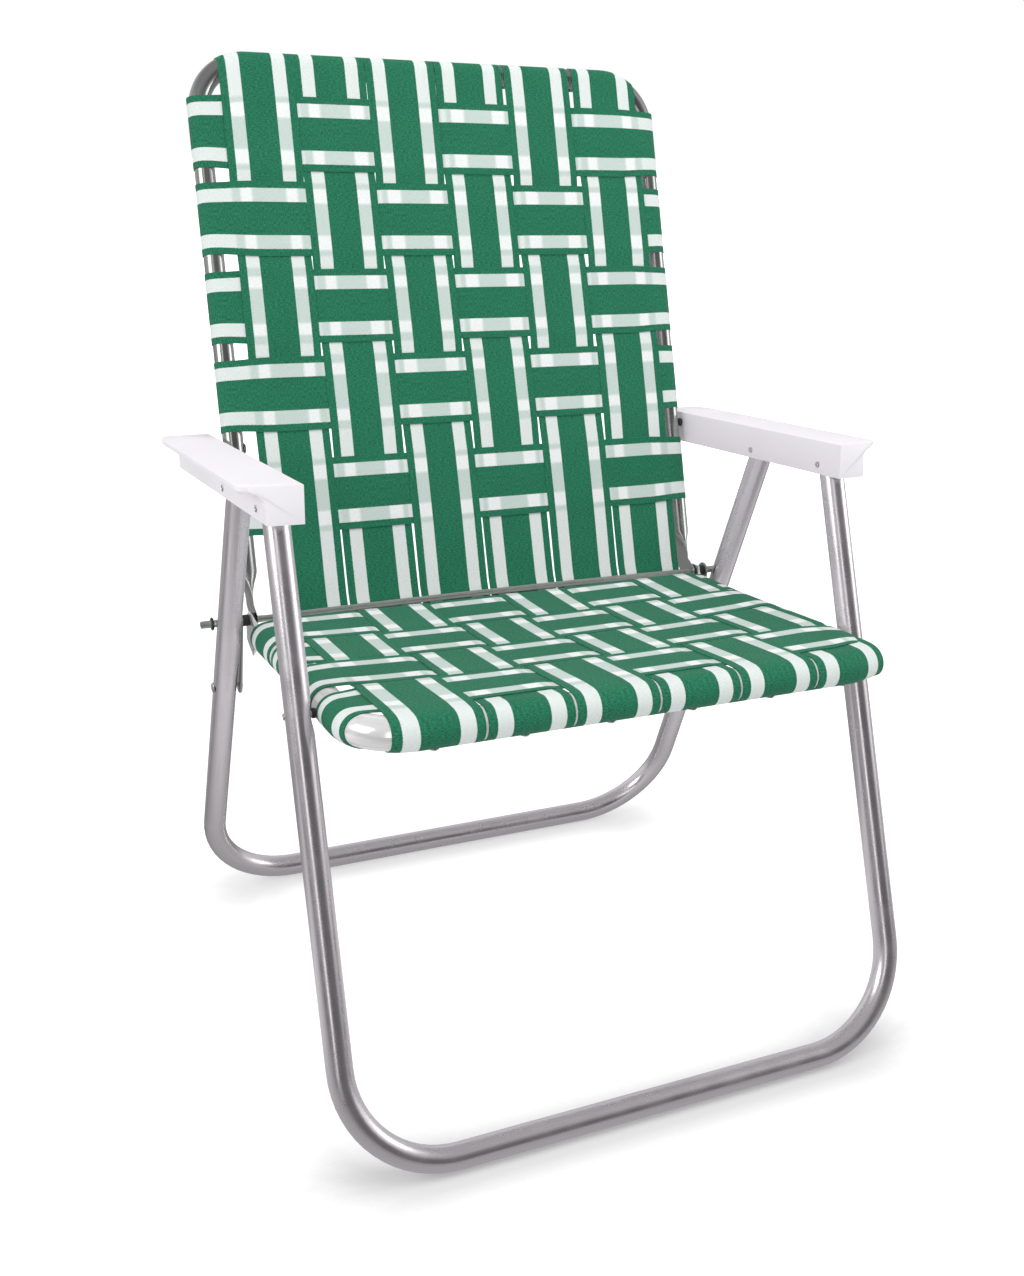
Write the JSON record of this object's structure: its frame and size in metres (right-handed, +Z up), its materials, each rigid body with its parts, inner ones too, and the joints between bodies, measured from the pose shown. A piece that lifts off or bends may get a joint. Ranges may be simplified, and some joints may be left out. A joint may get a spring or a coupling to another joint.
{
  "type": "folding lawn chair",
  "caption": "Folding lawn chair: bent aluminium tube frames, woven green and white webbing on seat and back, white plastic arm rests; folds flat through a rod-and-link hinge.",
  "frame": {"origin": "on the floor, at the middle of the chair's footprint", "axes": "+Z up, the sitter faces -Y, +X to the sitter's left, which is the picture's right"},
  "size_m": [0.696, 0.6964, 0.9662],
  "materials": {
    "polished_aluminium": "polished, fine streaks",
    "zinc": "zinc plated",
    "steel": "bright rivet",
    "white_plastic": "satin white",
    "black_nylon": "matt black",
    "green_webbing": "woven green with white stripes"
  },
  "bodies": {
    "front_frame": {"front_leg_frame": "polished_aluminium", "seat_pivot_rivet_right": "steel", "seat_pivot_rivet_left": "steel", "seat_pivot_bush_right": "black_nylon", "seat_pivot_bush_left": "black_nylon"},
    "seat": {"seat_frame": "polished_aluminium", "cross_rod": "zinc", "hinge_washer_right": "black_nylon", "hinge_washer_left": "black_nylon", "link_spacer_right": "black_nylon", "link_spacer_left": "black_nylon", "rod_end_washer_right": "black_nylon", "rod_end_washer_left": "black_nylon", "seat_cross_strap_1": "green_webbing", "seat_cross_strap_2": "green_webbing", "seat_cross_strap_3": "green_webbing", "seat_cross_strap_4": "green_webbing", "seat_long_strap_1": "green_webbing", "seat_long_strap_2": "green_webbing", "seat_long_strap_3": "green_webbing", "seat_long_strap_4": "green_webbing", "seat_long_strap_5": "green_webbing", "seat_long_strap_6": "green_webbing"},
    "arms": {"arm_right": "white_plastic", "arm_left": "white_plastic", "arm_front_rivet_right": "steel", "arm_front_rivet_left": "steel", "arm_rear_rivet_right": "steel", "arm_rear_rivet_left": "steel", "arm_pivot_head_right": "steel", "arm_pivot_head_left": "steel"},
    "back": {"back_frame": "polished_aluminium", "back_arm_rivet_right": "steel", "back_arm_rivet_left": "steel", "back_arm_bush_right": "black_nylon", "back_arm_bush_left": "black_nylon", "back_cross_strap_1": "green_webbing", "back_cross_strap_2": "green_webbing", "back_cross_strap_3": "green_webbing", "back_cross_strap_4": "green_webbing", "back_cross_strap_5": "green_webbing", "back_long_strap_1": "green_webbing", "back_long_strap_2": "green_webbing", "back_long_strap_3": "green_webbing", "back_long_strap_4": "green_webbing", "back_long_strap_5": "green_webbing", "back_long_strap_6": "green_webbing"},
    "rear_frame": {"rear_leg_frame": "polished_aluminium", "link_rivet_right": "steel", "link_rivet_left": "steel"},
    "links": {"link_right": "zinc", "link_left": "zinc", "link_rivet_head_right": "steel", "link_rivet_head_left": "steel"}
  },
  "joints": [
    {"name": "seat_fold", "type": "hinge", "parent": "front_frame", "child": "seat", "pos_m": [0, -0.16396, 0.4075], "axis": [-1, 0, 0], "range_deg": [0, 94]},
    {"name": "arm_fold", "type": "hinge", "parent": "front_frame", "child": "arms", "pos_m": [0, -0.09247, 0.5835], "axis": [-1, 0, 0], "range_deg": [0, 88.32]},
    {"name": "back_fold", "type": "hinge", "parent": "seat", "child": "back", "pos_m": [0, 0.10713, 0.394], "axis": [1, 0, 0], "range_deg": [0, 91.02]},
    {"name": "rear_leg_fold", "type": "hinge", "parent": "arms", "child": "rear_frame", "pos_m": [0, 0.03354, 0.5665], "axis": [1, 0, 0], "range_deg": [0, 47.12]},
    {"name": "link_fold", "type": "hinge", "parent": "seat", "child": "links", "pos_m": [0, 0.10713, 0.394], "axis": [-1, 0, 0], "range_deg": [0, 81.52]}
  ],
  "couplings": [
    {"joint": "arm_fold", "follows": "seat_fold", "ratio": 0.9394},
    {"joint": "back_fold", "follows": "seat_fold", "ratio": 0.9681},
    {"joint": "rear_leg_fold", "follows": "seat_fold", "ratio": 0.5011},
    {"joint": "link_fold", "follows": "seat_fold", "ratio": 0.867}
  ]
}
